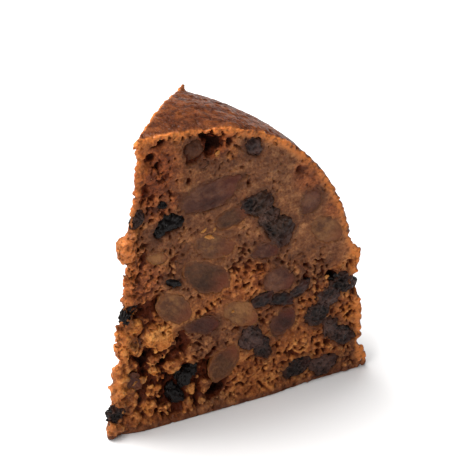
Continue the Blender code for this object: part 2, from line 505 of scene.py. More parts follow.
# On the front face: kind, how it shows, and rows of (along, up, length, width, turn in degrees).
# "cut" fruit is sliced through level with the crumb, "whole" fruit lies in its socket and "sunk"
# fruit deep in a hollow.
FRONT_FRUIT = (
    ("sultanas", "cut", (24.4, 34.6, 13.2, 7.8, -45), (16.8, 28.8, 11.0, 6.6, -46)),
    ("muscats", "cut", (23.8, 22.3, 9.0, 4.4, -10)),
    ("sultanas", "cut",
        (32.8, 22.8, 10.4, 5.8, -38), (26.4, 41.8, 11.0, 6.2, -22), (30.8, 47.9, 8.6, 5.2, 12),
        (53.9, 38.5, 9.5, 6.4, -42), (28.6, 11.4, 9.8, 6.6, 55), (13.4, 42.4, 5.4, 3.2, -16)),
    ("muscats", "cut",
        (26.2, 55.0, 14.0, 7.0, 12), (42.8, 17.9, 7.0, 6.0, 40), (42.2, 28.6, 8.6, 6.0, -24),
        (38.6, 37.0, 6.6, 4.4, -12)),
    ("raisins", "cut",
        (41.4, 42.2, 10.0, 7.6, -62), (39.4, 46.0, 6.6, 5.6, -40), (37.4, 49.2, 8.4, 6.4, -6),
        (35.6, 15.6, 8.6, 6.2, -42), (37.6, 12.6, 6.4, 4.8, -66), (57.2, 23.2, 7.2, 5.4, 22),
        (54.4, 21.4, 7.4, 5.6, 40), (51.6, 18.0, 7.2, 5.8, 60), (54.6, 12.8, 6.4, 4.6, -60),
        (57.8, 10.0, 6.6, 5.0, -30)),
    ("raisins", "whole", (15.6, 49.8, 7.8, 5.0, 20)),
    ("raisins", "cut", (53.2, 3.6, 8.6, 5.2, 12), (46.4, 4.7, 7.2, 5.0, 18)),
    ("raisins", "whole", (19.4, 10.6, 6.6, 5.0, 58), (16.4, 7.0, 6.6, 3.8, -60)),
    ("muscats", "sunk", (22.4, 66.4, 6.4, 5.4, 62)),
    ("currants", "cut", (36.1, 64.0, 5.8, 4.6, -52)),
    ("raisins", "cut", (8.8, 53.2, 5.2, 3.6, 72)),
    ("currants", "whole", (14.5, 55.2, 2.8, 2.0, 20)),
    ("muscats", "cut", (49.8, 47.0, 6.6, 5.4, 52)),
    ("currants", "sunk", (6.8, 31.4, 4.2, 2.8, 58)),
    ("raisins", "cut", (2.6, 5.8, 5.4, 4.4, 66)),
    ("muscats", "cut", (7.0, 12.8, 5.0, 3.8, -60), (7.2, 23.0, 3.0, 2.4, -30)),
    ("currants", "whole", (16.7, 35.2, 4.6, 2.4, -32)),
    ("currants", "cut",
        (38.2, 25.0, 5.8, 4.4, 24), (42.4, 23.6, 7.6, 4.0, -12), (47.0, 25.0, 6.4, 3.6, 34)),
    ("muscats", "whole", (24.3, 62.9, 2.6, 2.2, 0)),
    # The speck at (30.8, 24.0) is a painted highlight: a bright bit of peel set where a glint lies
    # on a sultana
    ("peel", "whole",
        (25.4, 44.5, 2.6, 1.2, -22), (24.0, 46.4, 1.7, 0.8, 34), (26.6, 46.1, 1.3, 0.7, 64),
        (27.6, 64.6, 1.6, 1.0, 60), (30.8, 24.0, 0.9, 0.7, 0), (12.0, 62.6, 1.7, 1.0, 40),
        (3.9, 6.0, 1.2, 0.9, 30), (53.6, 26.3, 1.1, 0.8, 70)),
)

# On the back face, one that shows past the slice's point
BACK_FRUIT = (("raisins", "whole", (5.6, 30.2, 4.6, 3.6, 60)),)

# The rest of the back face gets the same mix by chance: (kind, count, lengths, width share)
FRUIT_MIX = (
    ("sultanas", 11, (7.5, 11.5), (0.58, 0.72)),
    ("muscats", 5, (6.5, 11.0), (0.52, 0.72)),
    ("raisins", 10, (5.5, 9.5), (0.52, 0.68)),
    ("currants", 9, (2.6, 5.0), (0.55, 0.82)),
    ("peel", 9, (0.9, 2.6), (0.45, 0.75)),
)
MIX_RUNS, MIX_RISES = (15, 62), (3, 70)  # where on the face, in mm


def mixed_fruit(face, rng):
    """Fruit for a face, kept inside it and clear of each other."""
    chosen = []
    for kind, count, lengths, shares in FRUIT_MIX:
        made, tries = 0, 0
        while made < count and tries < MOST_TRIES:
            tries += 1
            length = rng.uniform(*lengths)
            width = length * rng.uniform(*shares)
            run, rise = rng.uniform(*MIX_RUNS), rng.uniform(*MIX_RISES)
            inside = dome_depth(np.array([face.place(run * MM, rise * MM)]))[0][0]
            if inside < (1.5 + width * 0.45) * MM:
                continue
            reach = (length + width) / 4
            gaps = (math.hypot(run - f[1], rise - f[2]) - (f[3] + f[4]) / 4 for f in chosen)
            if any(gap < reach for gap in gaps):
                continue
            state = "cut" if rng.random() < CUT_SHARE else "whole"
            chosen.append((kind, run, rise, length, width, rng.uniform(-90, 90), state))
            made += 1
    return chosen


class Fruit:
    """One dried fruit, sitting in a cut face."""

    def __init__(self, face, row, index):
        self.kind, run, rise, length, width, turn, self.state = row
        self.face = face
        self.index = index
        self.half = (length * MM / 2, width * MM / 2)
        thickness, self.uneven, bow, taper, *rest = FRUIT_KINDS[self.kind]
        wrinkle, span, self.flat, relief = rest
        self.wrinkle, self.span, self.relief = wrinkle * MM, span * MM, relief * MM
        chance = np.random.RandomState(SHAPE_SEED + index)
        self.bow = bow * chance.uniform(-1, 1)
        self.taper = taper * chance.uniform(0.2, 1)
        self.lean = taper * chance.uniform(-1, 1)
        self.deep = width * MM / 2 * thickness
        self.run, self.rise = run * MM, rise * MM
        self.turn = math.radians(turn)
        self.sink = self.deep * FRUIT_SINK[self.state]
        self.tint = (index * TINT_STEP) % 1.0
        self.centre = face.place(self.run, self.rise, self.sink)

    def swell(self, unit):
        """How far the uneven outline reaches in each direction of a unit ball."""
        broad = ripple(unit, 1.1, 3 + self.index)
        small = ripple(unit, 0.45, 103 + self.index)
        return 1.0 + self.uneven * (0.75 * broad + 0.30 * small)

    def girth(self, along):
        """How wide the fruit is at each place along its length."""
        return np.maximum(0.35, 1.0 - self.taper * along**2 + self.lean * along)

    def shape(self, unit):
        """A unit ball's points made into this fruit."""
        across = self.face.along * math.cos(self.turn) + self.face.up * math.sin(self.turn)
        other = self.face.out.cross(across)
        sides = np.array([across * self.half[0], other * self.half[1], self.face.out * self.deep])
        spots = unit * self.swell(unit)[:, None]
        girth = self.girth(spots[:, 0])
        spots[:, 1] = spots[:, 1] * girth + self.face.hand * self.bow * (spots[:, 0] ** 2 - 0.4)
        spots[:, 2] *= girth
        return spots @ sides + np.array(self.centre)

    def gap(self, run, rise):
        """How far spots on the face lie outside this fruit's outline, below 0 inside."""
        dx, dy = run - self.run, rise - self.rise
        along = dx * math.cos(self.turn) + dy * math.sin(self.turn)
        across = dy * math.cos(self.turn) - dx * math.sin(self.turn)
        a = along / self.half[0]
        b = (across / self.half[1] - self.bow * (a**2 - 0.4)) / self.girth(a)
        size = np.hypot(a, b) + 1e-9
        way = np.column_stack([a / size, self.face.hand * b / size, np.zeros(len(a))])
        return (size / self.swell(way) - 1.0) * (self.half[0] + self.half[1]) / 2


def all_fruit():
    """Every fruit in the slice, face by face."""
    rng = random.Random(FRUIT_SEED)
    rows = [(FRONT, (kind, *row, state)) for kind, state, *some in FRONT_FRUIT for row in some]
    rows += [(BACK, (kind, *row, state)) for kind, state, *some in BACK_FRUIT for row in some]
    rows += [(BACK, row) for row in mixed_fruit(BACK, rng)]
    return [Fruit(face, row, index) for index, (face, row) in enumerate(rows)]


# How finely fruit's balls are divided, and how deep the rim of cut fruit dips
SMALL_FRUIT, DARK_FRUIT = ("currants", "peel"), ("raisins", "currants")
FRUIT_BALL, SMALL_FRUIT_BALL = 5, 4
DARK_DIP, CLEAR_DIP = 0.40 * MM, 0.15 * MM
FRUIT_FOOT = 0.15 * MM  # fruit keeps this far off the table


def fruit_piece(kind, fruit):
    """All the fruit of one kind as one piece: wrinkled, then cut level where it was sliced."""
    chosen = [one for one in fruit if one.kind == kind]
    unit, faces = ball(SMALL_FRUIT_BALL if kind in SMALL_FRUIT else FRUIT_BALL)
    count = len(unit)
    points = np.vstack([one.shape(unit) for one in chosen])
    triangles = np.vstack([faces + index * count for index in range(len(chosen))])
    piece = mesh_piece(kind, points, triangles)
    normals = read(piece, "normal")
    flesh, edge, vein, lip = (np.zeros(len(points)) for _ in range(4))
    for index, one in enumerate(chosen):
        rows = slice(index * count, (index + 1) * count)
        spots, ways = points[rows], normals[rows]
        crease = np.maximum(0.0, 1.0 - np.abs(ripple(spots, one.span, 5)) * 2.6) ** 2
        knobs = ripple(spots, one.span * 0.55, 6)
        spots = spots - ways * (one.wrinkle * (crease - 0.35 * knobs))[:, None]
        above = -one.face.depth(spots)
        level = FRUIT_LEVEL[one.state] + 0.08 * MM * ripple(spots, 1.6 * MM, 7)
        over = np.maximum(above - level, 0.0)
        veins = np.abs(ripple(spots, 1.5 * MM, 34)) + 0.5 * np.abs(ripple(spots, 0.7 * MM, 35))
        # Painted highlight along the wrinkle ridges
        vein[rows] = fade(veins, 0.04, 0.26)
        dished = (0.10 * MM + one.relief * (veins - 0.35)) * smooth(over, 0.0, 0.5 * one.deep)
        gap = one.gap(*one.face.run_rise(spots))
        ragged = gap + 0.55 * MM * ripple(spots, 1.8 * MM, 27)
        ragged += 0.25 * MM * ripple(spots, 0.7 * MM, 28)
        if one.state == "cut":
            flesh[rows] = smooth_mm(over, 0.0, 0.30)
            dip = DARK_DIP if one.kind in DARK_FRUIT else CLEAR_DIP
            dished += dip * smooth_mm(ragged, -0.9, 0.1)
        points[rows] = spots - one.face.steps_out(over * one.flat + dished)
        edge[rows] = smooth_mm(ragged, -1.5, 0.0)
        # Painted highlight: a thin light line just inside the cut outline, in patches
        lip[rows] = 0.6 * np.exp(-(((gap + 0.40 * MM) / (0.22 * MM)) ** 2))
        lip[rows] *= smooth(ripple(spots, 3.0 * MM, 36), 0.0, 0.5)
    points[:, 2] = np.maximum(points[:, 2], FRUIT_FOOT)
    move_points(piece, points)
    piece.data.shade_smooth()
    values_on(
        piece, flesh=flesh, edge=edge, vein=vein, lip=lip, film=looks_at(points, "smeared"),
        tint=np.repeat([one.tint for one in chosen], count),
        along=np.tile(unit[:, 0], len(chosen)), across=np.tile(unit[:, 1], len(chosen)),
    )
    return piece


# ---------------------------------------------------------------- crumb and skin


def bisect(piece, place, outwards):
    """Cut a piece with a plane in edit mode, drop what is outwards and close the cut."""
    make_active(piece)
    bpy.ops.object.mode_set(mode="EDIT")
    bpy.ops.mesh.select_all(action="SELECT")
    bpy.ops.mesh.bisect(plane_co=place, plane_no=outwards, use_fill=True, clear_outer=True)
    bpy.ops.object.mode_set(mode="OBJECT")


def pudding_core():
    """The dense inside of the slice, its cut faces laid a little below the real ones."""
    deselect_all()
    bpy.ops.mesh.primitive_uv_sphere_add(segments=CORE_TURNS, ring_count=CORE_RINGS, radius=1.0)
    core = bpy.context.object
    core.name = core.data.name = "pudding"
    unit = read(core, "co")
    across = np.hypot(unit[:, 0], unit[:, 1])
    reach = (across**DOME_POWER + np.abs(unit[:, 2]) ** DOME_POWER) ** (1 / DOME_POWER)
    size = np.array([PUDDING_RADIUS, PUDDING_RADIUS, PUDDING_HEIGHT])
    move_points(core, unit / reach[:, None] * size + np.array(AXIS))
    for face in FACES:
        bisect(core, face.place(0, 0, CORE_INSET), face.out)
    bisect(core, (0, 0, 0), (0, 0, -1))
    lay_grid(core, CORE_GRID)
    apply_modifiers(core)
    sink_core(core)
    return core


def core_drop(face, run, rise, places):
    """How far the core's surface lies under the start of its cut face."""
    closed = lie(face, "smeared", run, rise)
    broken = smooth(lie(face, "coarse", run, rise), 0.25, 0.55)
    uneven = 0.40 * MM * (1.0 - 0.85 * closed) * smooth(ripple(places, 2.8 * MM, 1), -0.4, 0.8)
    return CREVICE * broken * (1.0 + 0.3 * ripple(places, 3.2 * MM, 2)) + uneven


def sink_core(core):
    """Lower the core's cut faces where the crumb is open or a hollow is torn."""
    places = read(core, "co")
    astray = torn_outline(places)
    for face in FACES:
        depth = face.depth(places)
        skin = dome_depth(places)[0]
        run, rise = face.run_rise(places)
        drop = core_drop(face, run, rise, places) * smooth(skin, 0.5 * MM, RIM_WIDTH)
        drop = (drop + hollowed(face, run, rise, astray)) * smooth_mm(places[:, 2], 0.4, 2.2)
        drop = np.minimum(drop, 0.75 * np.maximum(face.other().depth(places), 0.0))
        on_face = fade(depth, CORE_INSET + 0.3 * MM, CORE_INSET + 1.2 * MM)
        places -= face.steps_out(drop * on_face)
    move_points(core, places)


def scattered(pitch, chance):
    """Spots spread over a whole cut face, one near each point of a grid, along and up it."""
    grid = np.meshgrid(np.arange(-2 * MM, 65 * MM, pitch), np.arange(0.0, 74 * MM, pitch))
    spots = np.array(grid).reshape(2, -1)
    return spots + chance.uniform(-0.5, 0.5, spots.shape) * pitch


def inside_slice(face, run, rise, depth, radius):
    """Which lumps lie inside the slice, apart from what stands out of their own face."""
    places = face.places(run, rise, depth)
    in_skin = dome_depth(places)[0] > radius * 0.75
    clear = face.other().depth(places) > radius * 0.3
    return in_skin & (places[:, 2] > radius * 0.7) & clear


# Bigger clumps on the front cut: (along, up, depth, radius) in mm
FRONT_CLUMPS = (
    (11.6, 23.4, 1.7, 2.9), (14.4, 21.6, 1.6, 2.7), (13.0, 20.2, 1.5, 2.0), (4.8, 13.8, 1.6, 2.8),
    (7.4, 12.4, 1.4, 2.2), (8.0, 26.6, 1.3, 2.0), (10.4, 5.2, 1.2, 1.8), (6.4, 3.4, 1.4, 2.2),
    (19.6, 3.4, 1.4, 2.0), (16.4, 14.0, 1.2, 1.8), (21.2, 17.6, 1.2, 1.9),
)
# In mm, the radii of clumps, and the least radius of fine lumps, its even spread and how much
# bigger a rare one is. Then what share of the spots for fine lumps carries one.
CLUMP_RADII = (1.5, 2.8)
LUMP_RADII = (0.24, 0.26, 0.55)
SHARE_ON_CLUMPS, SHARE_IN_CREVICES, SHARE_ON_LEVEL = 0.12, 0.08, 0.14


def clumps_on(face, fruit, chance):
    """Clumps where the crumb breaks coarsely, as rows of along, up, depth and radius."""
    run, rise = scattered(CLUMP_PITCH, chance)
    coarse = lie(face, "coarse", run, rise)
    radius = chance.uniform(*CLUMP_RADII, len(run)) * MM
    depth = radius * chance.uniform(0.80, 1.15, len(run)) + hollowed(face, run, rise)
    keep = coarse + chance.uniform(-0.2, 0.2, len(run)) > 0.35
    keep &= inside_slice(face, run, rise, depth, radius)
    for one in face.holding(fruit):
        keep &= one.gap(run, rise) > radius * 0.45
    clumps = np.column_stack([run, rise, depth, radius])[keep]
    return np.vstack([clumps, np.array(FRONT_CLUMPS) * MM]) if face is FRONT else clumps


def lumps_on(face, fruit, chance):
    """All the lumps of crumb on one cut face, as rows of along, up, depth and radius."""
    clumps = clumps_on(face, fruit, chance)
    run, rise = scattered(LUMP_PITCH, chance)
    count = len(run)
    closed = lie(face, "smeared", run, rise)
    broken = lie(face, "coarse", run, rise) > 0.40
    least, spread, rare = LUMP_RADII
    radius = (least + spread * chance.random(count) + rare * chance.random(count) ** 4) * MM
    spots = face.places(run, rise, np.zeros(count))

    # How deep the surface lies: level crumb, the tops of clumps, or the crevices between them
    across = run[:, None] - clumps[None, :, 0]
    upward = rise[:, None] - clumps[None, :, 1]
    under = clumps[None, :, 3] ** 2 - across**2 - upward**2
    tops = np.where(under > 0, clumps[None, :, 2] - np.sqrt(np.maximum(under, 0)), np.inf)
    top = tops.min(axis=1)
    on_clump = top < np.inf
    level = np.where(on_clump, top, core_drop(face, run, rise, spots) + hollowed(face, run, rise))
    depth = level + radius * chance.uniform(-0.1, 0.5, count)

    # Fewer of them where the crumb is closed, none on the fruit, and few down in the crevices
    among = np.where(on_clump, SHARE_ON_CLUMPS, SHARE_IN_CREVICES)
    wanted = np.where(broken, among, SHARE_ON_LEVEL * (1.0 - 0.95 * closed))
    keep = chance.random(count) < wanted
    for one in face.holding(fruit):
        gap = one.gap(run, rise) + 0.35 * MM * ripple(spots, 1.8 * MM, 30)
        keep &= gap > radius * chance.uniform(-1.0, 0.4, count)
    keep &= inside_slice(face, run, rise, depth, radius)
    fine = np.column_stack([run, rise, depth, radius])[keep]
    return np.vstack([clumps, fine])


# Lumps that stand out of the sharp edge at the slice's point: (share of its height, back, radius)
EDGE_STANDS = (
    (0.016, 1.1, 1.5), (0.034, 1.5, 1.9), (0.060, 1.9, 1.7), (0.165, 2.0, 2.2), (0.205, 2.3, 1.8),
    (0.300, 2.2, 1.4), (0.400, 1.8, 1.6), (0.425, 1.4, 0.9), (0.625, 0.3, 2.3), (0.655, 0.0, 2.2),
    (0.640, -0.6, 1.5), (0.690, 2.2, 1.8),
    *((share, 1.7, 1.15) for share in np.linspace(0.72, 0.985, 14)),
)
EDGE_CALM = 50 * MM  # above this height the edge is rounded and carries no crumbs
EDGE_LUMPS = 170  # tried along the edge
EDGE_RADII, EDGE_BACK, EDGE_STRAY = (0.55, 1.4), (1.4, 3.6), (-0.9, 0.9)  # in mm
CRUMBS_EACH = 5  # on each lump along the edge
CRUMB_RADII = (0.28, 0.55)


def edge_lumps(chance):
    """Bigger lumps that break up the sharp edge at the slice's point, with crumbs on them."""
    foot, top = np.array(POINT), np.array(EDGE_TOP)
    inward = -np.array((FRONT.out + BACK.out).normalized())
    share = chance.random(EDGE_LUMPS)[:, None]
    radius = chance.uniform(*EDGE_RADII, EDGE_LUMPS) * MM
    back = chance.uniform(*EDGE_BACK, (EDGE_LUMPS, 1))
    centres = foot + (top - foot) * share + inward * back * MM
    centres += chance.uniform(*EDGE_STRAY, (EDGE_LUMPS, 3)) * MM
    keep = (dome_depth(centres)[0] > radius * 0.8) & (centres[:, 2] > radius * 0.8)
    keep &= (ripple(centres, 4.0 * MM, 8) < 0.25) & (centres[:, 2] < EDGE_CALM)
    centres, radius = centres[keep], radius[keep]
    stands = np.array(EDGE_STANDS)
    stand_centres = foot + (top - foot) * stands[:, :1] + inward * stands[:, 1:2] * MM
    centres = np.vstack([centres, stand_centres])
    radius = np.concatenate([radius, stands[:, 2] * MM])
    big = np.repeat(np.arange(len(radius)), CRUMBS_EACH)
    ways = chance.normal(size=(len(big), 3))
    ways /= np.linalg.norm(ways, axis=1)[:, None]
    crumbs = centres[big] + ways * radius[big][:, None] * 0.92
    small = chance.uniform(*CRUMB_RADII, len(big)) * MM
    keep = (crumbs[:, 2] > small) & (dome_depth(crumbs)[0] > 0) & (crumbs[:, 2] < EDGE_CALM)
    return np.vstack([centres, crumbs[keep]]), np.concatenate([radius, small[keep]])


# Lumps that stand out of the skin beside the front cut: (height, out, radius) in mm
RIM_STANDS = (
    (29.4, 1.4, 1.0), (30.6, 1.7, 0.9), (31.8, 1.0, 0.8), (28.6, 1.0, 0.7), (27.6, 0.3, 1.0),
    (17.8, 0.3, 1.0), (15.8, 0.7, 1.1), (13.4, 0.4, 1.0), (11.2, 0.1, 0.8), (8.8, 0.2, 0.9),
    (2.9, 1.6, 1.0), (1.5, 1.8, 0.9), (4.6, 1.1, 0.9), (0.9, 1.3, 0.8), (36.5, 0.1, 0.8),
    (40.2, 0.3, 1.2), (43.8, 0.2, 0.8), (47.4, 0.1, 1.0),
)
# Notches in the skin's edge beside the front cut: (height, reach, depth) in mm
RIM_NOTCHES = ((23.4, 2.6, 1.9), (34.6, 1.6, 0.6), (6.8, 1.6, 0.7))
# Crumbs on top of the back cut, where they stand against the light: (along, up, depth, radius)
TOP_CRUMBS = (
    (40.9, 65.5, 0.6, 0.85), (41.9, 65.7, 0.5, 0.62), (42.8, 65.9, 0.5, 0.42),
    (45.6, 64.0, 0.7, 0.5),
)
# More of them by chance beside each cut, up its curved side and along its top, in mm
SIDE_LUMPS, SIDE_RISES, SIDE_RADII = 60, (1.5, 69), (0.3, 0.85)
TOP_LUMPS, TOP_RUNS, TOP_RADII = 70, (8.5, 46.0), (0.3, 0.75)


def dome_rise(run):
    """How high up a cut the skin stands, this far along its foot."""
    share = np.clip((run - (AXIS.x - POINT.x)) / PUDDING_RADIUS, 0.0, 1.0)
    return PUDDING_HEIGHT * (1.0 - share**DOME_POWER) ** (1 / DOME_POWER)


def rim_lumps(chance):
    """Lumps along the edges where the skin meets the cuts."""
    centres, radii = [], []
    for rise, out, radius in RIM_STANDS:
        run = dome_run(rise * MM) + (out - radius * 0.80) * MM
        centres.append(FRONT.place(run, rise * MM, radius * 0.85 * MM))
        radii.append(radius * MM)
    for run, rise, depth, radius in TOP_CRUMBS:
        centres.append(BACK.place(run * MM, rise * MM, depth * MM))
        radii.append(radius * MM)
    for face in FACES:
        for rise in chance.uniform(*SIDE_RISES, SIDE_LUMPS):
            radius = chance.uniform(*SIDE_RADII)
            run = dome_run(rise * MM) + (chance.uniform(-0.05, 0.22) - radius * 0.85) * MM
            centres.append(face.place(run, rise * MM, radius * chance.uniform(0.7, 1.3) * MM))
            radii.append(radius * MM)
        for run in chance.uniform(*TOP_RUNS, TOP_LUMPS):
            radius = chance.uniform(*TOP_RADII)
            rise = dome_rise(run * MM) / face.out.cross(face.along).length
            rise -= (radius * 0.9 - chance.uniform(-0.1, 0.15)) * MM
            centres.append(face.place(run * MM, rise, radius * chance.uniform(0.3, 1.0) * MM))
            radii.append(radius * MM)
    return np.array(centres), np.array(radii)


def grown_together(core, centres, radii, chance):
    """Join core and lumps into one closed body with a fine, even surface."""
    large = radii >= LARGE_LUMP
    most = np.where(large, LARGE_STRETCH, STRETCH)
    squeeze = chance.uniform(SQUEEZE, most, (3, len(radii))).T * radii[:, None]
    turns = any_turns(len(radii), chance) * squeeze[:, None, :]
    for chosen, start in ((~large, ball(LUMP_BALL)), (large, ball(LARGE_LUMP_BALL))):
        points, faces = copies(start, turns[chosen], centres[chosen])
        uneven = np.repeat(radii[chosen] * LUMP_UNEVEN, len(start[0]))
        points += drift(points, 1.2 * MM, 31) * uneven[:, None]
        joined = mesh_piece("lumps", points, faces)
        make_active(core)
        joined.select_set(True)
        bpy.ops.object.join()
    lay_grid(core, CRUMB_GRID)
    eased = core.modifiers.new("eased", "SMOOTH")
    eased.factor = SMOOTHING
    eased.iterations = SMOOTHING_PASSES
    apply_modifiers(core)
    keep_outer_shell(core)
    return core


def keep_outer_shell(body):
    """Delete loose specks and shut-in pockets, leaving one closed shell."""
    highest = int(read(body, "co")[:, 2].argmax())
    make_active(body)
    for parts in (body.data.edges, body.data.polygons, body.data.vertices):
        parts.foreach_set("select", np.zeros(len(parts), dtype=bool))
    body.data.vertices[highest].select = True
    bpy.ops.object.mode_set(mode="EDIT")
    bpy.ops.mesh.select_mode(type="VERT")
    bpy.ops.mesh.select_linked()
    bpy.ops.mesh.select_all(action="INVERT")
    bpy.ops.mesh.delete(type="VERT")
    bpy.ops.object.mode_set(mode="OBJECT")


def pores_at(face, places):
    """How deep pores and dimples go under a cut face, in metres."""
    run, rise = face.run_rise(places)
    closed = lie(face, "smeared", run, rise)
    broken = smooth(lie(face, "coarse", run, rise), 0.3, 0.6)
    wandering = places + 0.30 * MM * drift(places, 1.3 * MM, 20)
    field = ripple(wandering, 1.05 * MM, 23) + 0.30 * ripple(places, 0.55 * MM, 24)
    size = 0.15 + 0.34 * closed + 0.20 * ripple(places, 7 * MM, 25)
    small = smooth(field, size, size + 0.32) * PORE_DEPTH * (1.0 - 0.40 * closed - 0.45 * broken)
    torn = ripple(wandering, 3.4 * MM, 26)
    large = smooth(torn, 0.52 + 0.25 * closed, 0.85 + 0.25 * closed) * TEAR_DEPTH * MM
    return np.maximum(small, large)


def open_crumb(body, fruit):
    """Open the pores in both cut faces, and make the sockets for the fruit."""
    places = read(body, "co")
    normals = read(body, "normal")
    skin = dome_depth(places)[0]
    for face in FACES:
        depth = face.depth(places)
        facing = smooth(normals @ np.array(face.out), 0.15, 0.6)
        rows = np.flatnonzero((depth < FACE_REACH) & (facing > 0))
        spots = places[rows]
        run, rise = face.run_rise(spots)
        sunk = pores_at(face, spots) * smooth_mm(skin[rows], 0.3, 1.4)
        sunk *= 0.5 + 0.5 * smooth(spots[:, 2], FOOT_CRUST * 0.6, FOOT_CRUST * 1.5)
        sharp = fade_mm(run - dome_lean(rise), 1.5, 4.5)
        sunk *= 1.0 - 0.85 * sharp * smooth(rise, EDGE_CALM - 4 * MM, EDGE_CALM + 4 * MM)
        wobble = waves(spots, *SOCKET_WAVES, unit=MM)
        for one in face.holding(fruit):
            near = np.flatnonzero(np.hypot(run - one.run, rise - one.rise) < one.half[0] * 1.5)
            true_gap = one.gap(run[near], rise[near])
            gap = true_gap + wobble[near]
            sunk[near] *= 0.3 + 0.7 * smooth_mm(gap, 0.0, 0.7)
            socket = SOCKET_DEPTH * fade_mm(gap, -0.55, -0.15)
            socket *= fade_mm(true_gap, -0.35, -0.10)
            sunk[near] = np.maximum(sunk[near], socket)
        places[rows] -= face.steps_out(sunk * facing[rows])
    move_points(body, places)


def shave_level(body):
    """Press what stands out of the cut faces, the skin and the foot back to their level."""
    places = read(body, "co")
    for face in FACES:
        run, rise = face.run_rise(places)
        over = np.maximum(-face.depth(places) - PROUD, 0.0)
        give = 0.12 + 0.55 * lie(face, "coarse", run, rise)
        give = np.maximum(give, 0.90 * fade_mm(run - dome_lean(rise), 1.5, 5.0))
        places -= face.steps_out(over * (1.0 - give))
    depth, outwards = dome_depth(places)
    over = np.maximum(-depth - PROUD, 0.0)
    places -= outwards * (over * 0.15)[:, None]
    places[:, 2] = np.maximum(places[:, 2], 0.0)
    move_points(body, places)


def on_skin(places, normals):
    """How far each point belongs to the pudding's skin and not to a cut."""
    depth, outwards = dome_depth(places)
    facing = (normals * outwards).sum(axis=1) + 0.25 * ripple(places, 1.4 * MM, 17)
    near = fade_mm(depth, 0.45, 1.1)
    cut = np.minimum(FRONT.depth(places), BACK.depth(places))
    near *= smooth_mm(cut + 0.5 * MM * ripple(places, 2.0 * MM, 18), 0.0, 0.6)
    on_top = smooth(facing, 0.30, 0.70) * near
    under = smooth(-normals[:, 2], 0.6, 0.9) * fade_mm(places[:, 2], 0.3, 0.8)
    return np.maximum(on_top, under)


def notch_rim(places):
    """Dent the skin beside the front cut."""
    dome, outwards = dome_depth(places)
    beside = fade_mm(FRONT.depth(places), 3.0, 8.0) * fade_mm(dome, 0.5, 5.0)
    for height, reach, depth in RIM_NOTCHES:
        gap = np.abs(places[:, 2] / MM - height)
        dip = depth * MM * fade(gap, reach * 0.3, reach)
        places -= outwards * (dip * beside)[:, None]


def swell_foot(places):
    """Bulge the closed crust along the front foot a little."""
    run = FRONT.run_rise(places)[0]
    flare = 1.0 * MM * smooth_mm(run, 2, 9) * fade_mm(run, 38, 52)
    flare *= fade_mm(places[:, 2], 0.5, 3.4)
    flare *= fade_mm(FRONT.depth(places), 0.6, 3.0)
    places += np.outer(flare, np.array((0.0, FRONT.out.y, 0.0)))


def roughen(body):
    """Give crumb its grain and skin its dimples, as real relief."""
    places, normals = read(body, "co"), read(body, "normal")
    skin = on_skin(places, normals)
    crumb = waves(places, *CRUMB_WAVES)
    crumb += 0.24 * (np.abs(ripple(places, 1.1 * MM, 16)) - 0.3)
    crumb *= 1.0 - 0.55 * looks_at(places, "smeared") - 0.25 * looks_at(places, "coarse")
    rind = waves(places, *RIND_WAVES) + waves(places, *RIND_GRAIN)
    rind += 0.24 * (0.3 - np.abs(ripple(places, 2.0 * MM, 19)))
    rind -= 0.32 * smooth(ripple(places, 1.5 * MM, 14), 0.30, 0.75)
    notch_rim(places)
    swell_foot(places)
    lift = (crumb * (1 - skin) + rind * skin) * MM
    lift *= smooth_mm(places[:, 2], 0.05, 0.6)
    places += normals * lift[:, None]
    places[:, 2] = np.maximum(places[:, 2], 0.0)
    move_points(body, places)


def thin_out(body):
    """Bring the triangles down where the surface is calm."""
    triangles = 2 * len(body.data.polygons)
    if triangles > BODY_TRIANGLES:
        thinner = body.modifiers.new("thinner", "DECIMATE")
        thinner.ratio = BODY_TRIANGLES / triangles
        apply_modifiers(body)


def nearer(places, front_values, back_values):
    """Values from whichever cut face is nearer to each point."""
    return np.where(FRONT.depth(places) < BACK.depth(places), front_values, back_values)


def looks_at(places, look):
    """How much each point has a look, from the cut face nearer to it."""
    return nearer(places, *(lie(face, look, *face.run_rise(places)) for face in FACES))


def stained_by(places, fruit, kinds, reach):
    """How near each point is to fruit of some kinds, 1 at it and 0 at the reach."""
    most = np.zeros(len(places))
    for face in FACES:
        rows = np.flatnonzero(face.depth(places) < FACE_REACH)
        run, rise = face.run_rise(places[rows])
        for one in (each for each in face.holding(fruit) if each.kind in kinds):
            near = np.hypot(run - one.run, rise - one.rise) < one.half[0] * 1.4 + reach
            close = fade(one.gap(run[near], rise[near]), 0.0, reach)
            most[rows[near]] = np.maximum(most[rows[near]], close)
    return most


